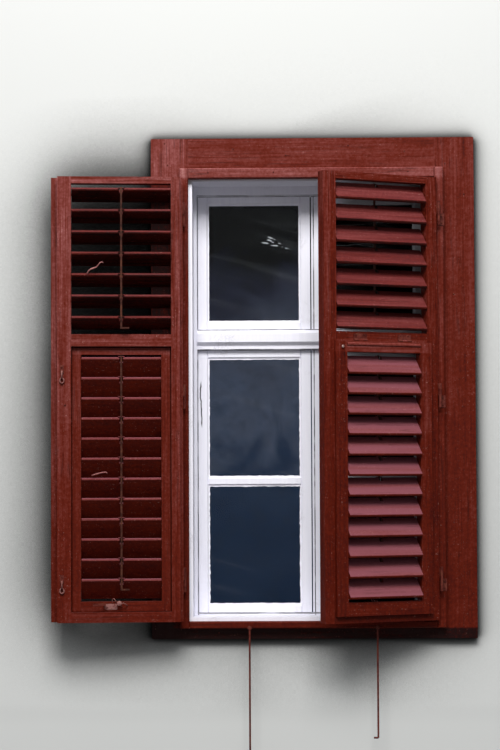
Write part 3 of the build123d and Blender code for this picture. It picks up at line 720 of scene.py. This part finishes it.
def screw_head(radius):
    """A domed head with a slot, its foot a little below Z = 0."""
    head = fresh(
        bpy.ops.mesh.primitive_cylinder_add, vertices=20, radius=radius, depth=radius * 0.6
    )
    pick(head, "EDGE", lambda a, b: a.z > 0 and b.z > 0)
    bpy.ops.mesh.bevel(offset=radius * 0.35, segments=3)
    for slot_side in (-0.16 * radius, 0.16 * radius):
        bpy.ops.mesh.select_all(action="SELECT")
        bpy.ops.mesh.bisect(plane_co=(0, slot_side, 0), plane_no=(0, 1, 0))
    pick(head, "FACE", lambda p: p.z > radius * 0.2 and abs(p.y) < 0.15 * radius)
    drawn_out(-radius * 0.28)
    return settle(head, Matrix.Translation((0, 0, radius * 0.25)))


def copies(master, places):
    """One copy of a piece at each place, each with a mesh of its own."""
    made = []
    for place in places:
        copy = master.copy()
        copy.data = master.data.copy()
        bpy.context.scene.collection.objects.link(copy)
        made.append(settle(copy, place))
    return made


def put_away(*masters):
    """Removes pieces that were there only to be copied."""
    for master in masters:
        bpy.data.objects.remove(master)


SCREW = screw_head(SCREW_RADIUS)
places = [
    casing_matrix(sign * HINGE_SCREWS_X, FRAME_FACE - HINGE_THICKNESS, level - drop, spin)
    for sign in SIDES.values()
    for level in HINGE_LEVELS
    for drop, spin in HINGE_SCREW_DROPS
]
joined("frame_hinge_screws", "casing", PAINTED_IRON, copies(SCREW, places))

# Nails: iron fixings through the casing's boards and the raised head, their small domed
# heads a little proud and painted over with the boards.
NAIL_RADIUS = 0.0026
BOARD_FACE = -0.022
BOARD_NAILS = (
    (-0.46, 1.50), (-0.47, 1.57), (0.43, 1.50), (0.49, 1.40), (0.455, 1.08), (0.48, 0.72),
    (0.45, 0.35), (0.49, 0.06), (-0.25, 1.55), (-0.08, 1.53), (0.12, 1.56), (0.30, 1.54),
    (-0.30, 0.002), (0.20, 0.0),
)
HEAD_NAILS_X = (-0.33, -0.12, 0.10, 0.31)
HEAD_NAILS_Z = 1.472

NAIL = screw_head(NAIL_RADIUS)
places = [casing_matrix(x, BOARD_FACE, z, 6 * x) for x, z in BOARD_NAILS]
places += [casing_matrix(x, FRAME_FACE, HEAD_NAILS_Z, 5 * x) for x in HEAD_NAILS_X]
joined("casing_nails", "casing", PAINTED_IRON, copies(NAIL, places))
put_away(NAIL)

# Catches and flap hinges: two iron catches screwed to each free stile, with a hook and a
# ring of wire hanging from each. Two butt hinges carry each flap, on two screws a side,
# and one odd screw is left in the free stile. The catches have chalked pale.
CATCH_PAINT = (0.110, 0.026, 0.019, 1)
CATCH_CHALK = (0.260, 0.120, 0.110, 1)
CATCHES = (0.826, 0.167)
FREE_STILE = 0.044
CATCH_FROM_EDGE = 0.015
CATCH_THICKNESS = 0.002
CATCH_SCREW_RISE = 0.020
INNER_FACE = 0.042
FLAP_HINGES = {"left": (0.125, 0.276), "right": (0.125, 0.281)}
FLAP_HINGE_FACE, FLAP_HINGE_LEVEL = 0.004, 0.9400
FLAP_SCREW_SHIFTS = (-0.013, 0.013)
ODD_SCREW = (-0.0095, INNER_FACE + 0.001, CATCHES[0] - 0.100)
HOOK = (
    (0, 0.0480, 0.006), (0, 0.0535, 0.005), (0, 0.0580, 0.001), (0, 0.0590, -0.006),
    (0, 0.0560, -0.013), (0, 0.0505, -0.016), (0, 0.0460, -0.014),
)
HOOK_WIDTHS = (0.0030, 0.0028, 0.0024, 0.0022, 0.0022, 0.0026, 0.0032)
RING = (
    (0, 0.0465, -0.014), (-0.0055, 0.0470, -0.019), (-0.0065, 0.0470, -0.027),
    (0, 0.0470, -0.033), (0.0065, 0.0470, -0.027), (0.0055, 0.0470, -0.019),
    (0.001, 0.0465, -0.014),
)
RING_WIDTHS = (0.0020, 0.0022, 0.0024, 0.0028, 0.0024, 0.0022, 0.0020)

CHALKY_IRON = iron_paint("chalky_iron", CATCH_PAINT, CATCH_CHALK)
for side in SIDES:
    reach = LIGHT_END[side] + FREE_STILE - CATCH_FROM_EDGE
    places = [
        leaf_matrix(
            side, reach, INNER_FACE + CATCH_THICKNESS, low + CATCH_SCREW_RISE, INWARD, 0.5 * low
        )
        for low in CATCHES
    ]
    places += [
        leaf_matrix(
            side, middle + shift, FLAP_HINGE_FACE, FLAP_HINGE_LEVEL, OUTWARD,
            9 * middle + 30 * shift,
        )
        for middle in FLAP_HINGES[side]
        for shift in FLAP_SCREW_SHIFTS
    ]
    inset, face, level = ODD_SCREW
    places.append(leaf_matrix(side, reach + inset, face, level, INWARD, 0.8))
    joined(f"{side}_leaf_screws", f"{side}_leaf", PAINTED_IRON, copies(SCREW, places))
    hook = wire(on_leaf(side, HOOK, reach), HOOK_WIDTHS)
    ring = wire(on_leaf(side, RING, reach), RING_WIDTHS)
    hooks = []
    for low in CATCHES:
        level = [Matrix.Translation((0, 0, low))]
        hooks += copies(hook, level) + copies(ring, level)
    joined(f"{side}_catch_hooks", f"{side}_leaf", CHALKY_IRON, hooks)
    put_away(hook, ring)

# Flap latches: an iron turn button on each flap's bottom rail, with a raised plate, a
# knob, an eye and a loop of wire beside it. A newer screw with a bare zinc head holds
# the drip mould on the flap's outer face.
ZINC = (0.42, 0.33, 0.30, 1)
ZINC_STAIN = (0.22, 0.10, 0.08, 1)
ZINC_SHINE = 0.35
DRIP_SCREW_RADIUS = 0.0045
DRIP_SCREW_PLACE = (-0.014, -0.010, 0.901)
LATCH_FACE = 0.026
PLATE_SIZE = (0.041, 0.019, 0.002)
PLATE_PLACE = (-0.1235, LATCH_FACE + 0.001, 0.0915)
PLATE_SCREWS = (-0.014, 0.012)
KNOB_RADIUS, KNOB_DEPTH = 0.0045, 0.012
KNOB_PLACE = (-0.150, LATCH_FACE + 0.006, 0.103)
EYE = (
    (-0.175, 0.026, 0.096), (-0.174, 0.034, 0.097), (-0.170, 0.041, 0.100),
    (-0.163, 0.044, 0.104), (-0.156, 0.041, 0.101), (-0.154, 0.034, 0.096),
    (-0.158, 0.027, 0.092),
)
EYE_WIDTHS = (0.0018,) * len(EYE)
LOOP = (
    (-0.140, 0.026, 0.104), (-0.139, 0.031, 0.109), (-0.136, 0.033, 0.115),
    (-0.131, 0.031, 0.118), (-0.128, 0.029, 0.113), (-0.129, 0.0265, 0.105),
)
LOOP_WIDTHS = (0.0014,) * len(LOOP)


def worn_zinc():
    """Bare zinc, dulled and stained by rain."""
    metal, tree, shader = new_finish("worn_zinc")
    stain = noise(tree, coordinates(tree), 300.0, 4, 0.6, 0.3)
    colour = blended(tree, spread(tree, stain, 0.35, 0.65), ZINC, ZINC_STAIN)
    surfaced(tree, shader, colour, spread(tree, stain, 0.3, 0.7, 0.4, 0.7))
    shader.inputs["Metallic"].default_value = ZINC_SHINE
    return metal


def latch_plate():
    """A thin plate with rounded corners and a raised field."""
    plate = block(*PLATE_SIZE)
    pick(plate, "EDGE", lambda a, b: abs(a.z - b.z) > 0.001)
    bpy.ops.mesh.bevel(offset=0.004, segments=3)
    pick(plate, "FACE", lambda p: p.z > 0.0009)
    bpy.ops.mesh.inset(thickness=0.002)
    drawn_out(0.0008)
    return settle(plate, Matrix())


def latch_knob():
    """A turned knob on a round shank."""
    knob = fresh(
        bpy.ops.mesh.primitive_cylinder_add, vertices=20, radius=KNOB_RADIUS, depth=KNOB_DEPTH
    )
    pick(knob, "FACE", lambda p: p.z > 0.005)
    for rise, widen in ((0.002, 1.7), (0.003, 1.0), (0.002, 0.55)):
        drawn_out(rise, widen)
    return settle(knob, Matrix())


WORN_ZINC = worn_zinc()
DRIP_SCREW = screw_head(DRIP_SCREW_RADIUS)
PLATE, KNOB = latch_plate(), latch_knob()
for side in SIDES:
    coat(PAINTED_IRON, f"{side}_flap_latch")
    end = LIGHT_END[side]
    inset, face, level = DRIP_SCREW_PLACE
    places = [leaf_matrix(side, end + inset, face, level, OUTWARD, 0.6)]
    joined(f"{side}_drip_screw", f"{side}_flap", WORN_ZINC, copies(DRIP_SCREW, places))
    inset, face, level = PLATE_PLACE
    fittings = copies(PLATE, [leaf_matrix(side, end + inset, face, level, INWARD)])
    screws = [
        leaf_matrix(
            side, end + inset + shift, face + 0.0018, level - 0.001, INWARD, 40 * shift
        )
        for shift in PLATE_SCREWS
    ]
    inset, face, level = KNOB_PLACE
    fittings += copies(KNOB, [leaf_matrix(side, end + inset, face, level, INWARD)])
    fittings.append(wire(on_leaf(side, EYE, end), EYE_WIDTHS))
    fittings.append(wire(on_leaf(side, LOOP, end), LOOP_WIDTHS))
    fittings += copies(SCREW, screws)
    joined(f"{side}_latch_fittings", f"{side}_flap", CHALKY_IRON, fittings)

put_away(SCREW, DRIP_SCREW, PLATE, KNOB)

# Stand and light: a pale backing just behind, open at the window, with a dark one well
# beyond the glass, and a pale floor below. One wide soft lamp stands high in front.
BACKING_COLOUR = (0.60, 0.61, 0.60, 1)
BACKING_BOUNCE = (0.10, 0.10, 0.10, 1)
BACKING_Y = 0.0015
TOUCHING = 0.004
SHADE_REACH, SHADE_POWER, SHADE_SAMPLES = 0.30, 4.5, 12
SHADE_END = (-0.08, -0.30)
FLOOR_COLOUR = (0.62, 0.62, 0.61, 1)
FLOOR_BOUNCE = (0.12, 0.12, 0.12, 1)
FLOOR_HEIGHT = -0.52
FLOOR_HALF = 30
INSIDE_Y = 0.62
INSIDE_LIGHT = (0.30, 0.30, 0.31, 1)
INSIDE_STEPS = (
    (0.0, (0.003, 0.011, 0.030, 1)),
    (0.33, (0.009, 0.019, 0.042, 1)),
    (0.45, (0.042, 0.052, 0.080, 1)),
    (0.6, (0.038, 0.043, 0.062, 1)),
    (0.70, (0.012, 0.013, 0.024, 1)),
    (0.82, (0.0, 0.0, 0.0, 1)),
)
OUTER = ((-6, FLOOR_HEIGHT), (6, FLOOR_HEIGHT), (6, 6), (-6, 6))
OPENING = ((-0.3945, 0.0385), (0.3945, 0.0385), (0.3945, 1.4535), (-0.3945, 1.4535))
SKY_TINT = (0.96, 0.98, 1.0, 1)
SKY_SHOWN = 0.62
LAMP_PLACE = (-0.35, -4.3, 5.0)
LAMP_AIM = (0, 0, 0.8)
LAMP_SIZE = (3.2, 2.2)
LAMP_POWER = 445
LAMP_TINT = (1.0, 0.985, 0.97)


def bare_tree(owner):
    """The emptied node tree of a material or of the world."""
    owner.use_nodes = True
    owner.node_tree.nodes.clear()
    return owner.node_tree


def seen_rays(tree):
    """1 for what is seen directly, in gloss or through glass, and 0 for bounced light."""
    path = tree.nodes.new("ShaderNodeLightPath")
    kinds = ("Is Camera Ray", "Is Transmission Ray", "Is Glossy Ray")
    return most(tree, *(path.outputs[kind] for kind in kinds))


def one_sided(tree, solid, finish):
    """Shows a finish from the front only, so that the part's back can be looked at."""
    facing = tree.nodes.new("ShaderNodeNewGeometry")
    front = minus(tree, 1.0, facing.outputs["Backfacing"])
    clear = tree.nodes.new("ShaderNodeBsdfTransparent")
    both = linked(
        tree, "ShaderNodeMixShader", i0=times(tree, solid, front), i1=clear.outputs[0], i2=finish
    )
    linked(tree, "ShaderNodeOutputMaterial", i0=both.outputs[0])


def pale_backing():
    """Pale, with painted shade where the part stands close, and dim to bounced light.

    Light that has come no further than TOUCHING passes through it.
    """
    material = bpy.data.materials.new("pale_wall")
    tree = bare_tree(material)
    seen = seen_rays(tree)
    # Painted shade: ambient occlusion darkens the backing close to the part.
    near = linked(tree, "ShaderNodeAmbientOcclusion", Distance=SHADE_REACH)
    near.samples = SHADE_SAMPLES
    shade = most(
        tree,
        worked(tree, "POWER", near.outputs["AO"], SHADE_POWER),
        spread(tree, axes(tree, "Object")[2], *SHADE_END),
    )
    shown = blended(tree, shade, (0.0, 0.0, 0.0, 1), BACKING_COLOUR)
    colour = blended(tree, seen, BACKING_BOUNCE, shown)
    come = tree.nodes.new("ShaderNodeLightPath").outputs["Ray Length"]
    away = worked(tree, "GREATER_THAN", come, TOUCHING)
    matt = linked(tree, "ShaderNodeBsdfDiffuse", Color=colour)
    one_sided(tree, most(tree, seen, away), matt.outputs[0])
    return material


def dark_inside():
    """Glows dark and bluer low down as seen through the glass, black to the right as painted shade
    behind the right leaf. Its light falls on the back only.
    """
    material = bpy.data.materials.new("dark_room")
    tree = bare_tree(material)
    seen = seen_rays(tree)
    place = tree.nodes.new("ShaderNodeTexCoord").outputs["Object"]
    split = linked(tree, "ShaderNodeSeparateXYZ", i0=place).outputs
    cloud = noise(tree, place, 4.0, 4, 0.6, 0.5)
    height = spread(tree, split[2], 0.0, 1.5, kind="LINEAR")
    tone = plus(tree, height, spread(tree, cloud, 0.3, 0.7, -0.10, 0.10))
    colour = blended(tree, seen, INSIDE_LIGHT, stepped(tree, tone, INSIDE_STEPS))
    # Painted shade: the glow seen through the glass goes black to the right, behind the right
    # leaf.
    shown = times(tree, seen, spread(tree, split[0], 0.10, 0.03))
    lit = most(tree, shown, minus(tree, 1.0, seen))
    glow = linked(tree, "ShaderNodeEmission", Color=colour, Strength=lit)
    one_sided(tree, 1.0, glow.outputs[0])
    return material


def pale_floor():
    """Pale to the camera and dim to bounced light."""
    material = bpy.data.materials.new("pale_floor")
    tree = bare_tree(material)
    tone = blended(tree, seen_rays(tree), FLOOR_BOUNCE, FLOOR_COLOUR)
    matt = linked(tree, "ShaderNodeBsdfDiffuse", Color=tone)
    linked(tree, "ShaderNodeOutputMaterial", i0=matt.outputs[0])
    return material


def stage_sheet(name, corners, faces, material):
    """A flat sheet of the stage, which is no piece of the part."""
    mesh = bpy.data.meshes.new(name)
    mesh.from_pydata(corners, [], faces)
    mesh.materials.append(material)
    sheet = bpy.data.objects.new(name, mesh)
    bpy.context.scene.collection.objects.link(sheet)


corners = [(x, BACKING_Y, z) for x, z in OUTER + OPENING]
around = [(0, 1, 5, 4), (1, 2, 6, 5), (2, 3, 7, 6), (3, 0, 4, 7)]
stage_sheet("wall_backdrop", corners, around, pale_backing())
corners = [(x, INSIDE_Y, z) for x, z in OUTER]
stage_sheet("room_backdrop", corners, [(0, 1, 2, 3)], dark_inside())
corners = [
    (FLOOR_HALF * x, FLOOR_HALF * y, FLOOR_HEIGHT) for x, y in ((-1, -1), (1, -1), (1, 1), (-1, 1))
]
stage_sheet("floor", corners, [(0, 1, 2, 3)], pale_floor())

world = bpy.data.worlds.new("studio")
bpy.context.scene.world = world
sky = bare_tree(world)
seen = seen_rays(sky)
glow = spread(sky, axes(sky, "Generated")[2], -0.1, 0.7, 0.10, 1.0)
strength = plus(sky, times(sky, glow, minus(sky, 1.0, seen)), times(sky, seen, SKY_SHOWN))
air = linked(sky, "ShaderNodeBackground", Color=SKY_TINT, Strength=strength)
linked(sky, "ShaderNodeOutputWorld", Surface=air.outputs[0])

lamp_data = bpy.data.lights.new("soft_lamp", "AREA")
lamp_data.shape = "RECTANGLE"
lamp_data.size, lamp_data.size_y = LAMP_SIZE
lamp_data.energy = LAMP_POWER
lamp_data.color = LAMP_TINT
lamp = bpy.data.objects.new("soft_lamp", lamp_data)
bpy.context.scene.collection.objects.link(lamp)
lamp.location = LAMP_PLACE
lamp.rotation_euler = (Vector(LAMP_AIM) - lamp.location).to_track_quat("-Z", "Y").to_euler()

# Camera: far in front, a little left of the middle and looking slightly up, through a
# long lens. The picture it is fitted to is 750 pixels high.
CAMERA_PLACE = (-0.096, -6.515, 0.493)
CAMERA_YAW = radians(0.902)
CAMERA_PITCH = radians(2.444)
CAMERA_ROLL = radians(0.256)
SENSOR_WIDTH = 36
FOCAL_PIXELS = 2032
IMAGE_HEIGHT = 750
PRINCIPAL_DROP = 16.6

camera_data = bpy.data.cameras.new("camera")
camera_data.sensor_fit = "AUTO"
camera_data.sensor_width = SENSOR_WIDTH
camera_data.lens = FOCAL_PIXELS / IMAGE_HEIGHT * SENSOR_WIDTH
camera_data.shift_y = PRINCIPAL_DROP / IMAGE_HEIGHT
camera_data.clip_end = 100
camera = bpy.data.objects.new("camera", camera_data)
bpy.context.scene.collection.objects.link(camera)
aim = Matrix.Rotation(CAMERA_YAW, 4, "Z") @ Matrix.Rotation(CAMERA_PITCH, 4, "X")
aim = aim @ Matrix.Rotation(CAMERA_ROLL, 4, "Y") @ Matrix.Rotation(pi / 2, 4, "X")
camera.matrix_world = Matrix.Translation(CAMERA_PLACE) @ aim
bpy.context.scene.camera = camera
bpy.context.scene.view_settings.view_transform = "Standard"

bpy.context.view_layer.update()
